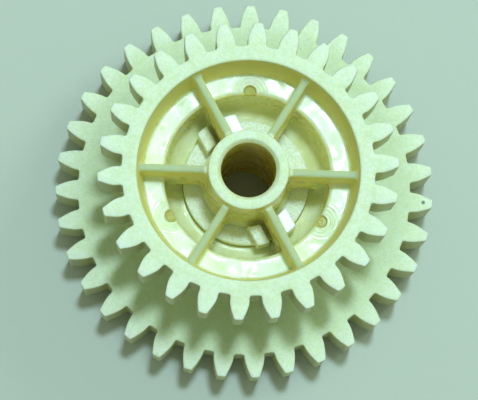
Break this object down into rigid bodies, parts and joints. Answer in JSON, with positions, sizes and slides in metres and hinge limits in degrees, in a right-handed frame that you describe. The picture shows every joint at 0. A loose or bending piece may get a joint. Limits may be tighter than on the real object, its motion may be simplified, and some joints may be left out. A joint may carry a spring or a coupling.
{
  "type": "two-stage spur gear",
  "caption": "Moulded two-stage spur gear: a spoked small gear on a long bored hub snaps into a larger gear and drives it through lugs with a little free play.",
  "frame": {"origin": "on the bore axis, in the plane of the large gear's hub end face, which the part stands on", "axes": "+Z along the bore axis from the large gear to the small gear; +X along one spoke of the small gear; one tooth of the large gear on +Y"},
  "size_m": [0.037, 0.0369, 0.016],
  "materials": {
    "acetal_frosted": "fine frosted mould finish, slightly worn tooth tips",
    "acetal_gloss": "polished mould finish, slightly translucent",
    "acetal_grained": "coarse spark-eroded grain"
  },
  "bodies": {
    "front_gear": {"front_toothed_rim": "acetal_frosted", "front_web": "acetal_gloss", "front_neck": "acetal_gloss", "front_cup_floor": "acetal_gloss", "front_spokes": "acetal_gloss", "front_hub": "acetal_gloss"},
    "rear_gear": {"rear_toothed_rim": "acetal_frosted", "rear_web": "acetal_frosted", "rear_stiffening_ribs": "acetal_frosted", "rear_hub": "acetal_frosted", "rear_lug_ring": "acetal_grained", "rear_drive_lugs": "acetal_grained"}
  },
  "joints": [
    {"name": "lug_play", "type": "hinge", "parent": "front_gear", "child": "rear_gear", "pos_m": [0, 0, 0], "axis": [0, 0, 1], "range_deg": [-3.5, 3.5]}
  ]
}
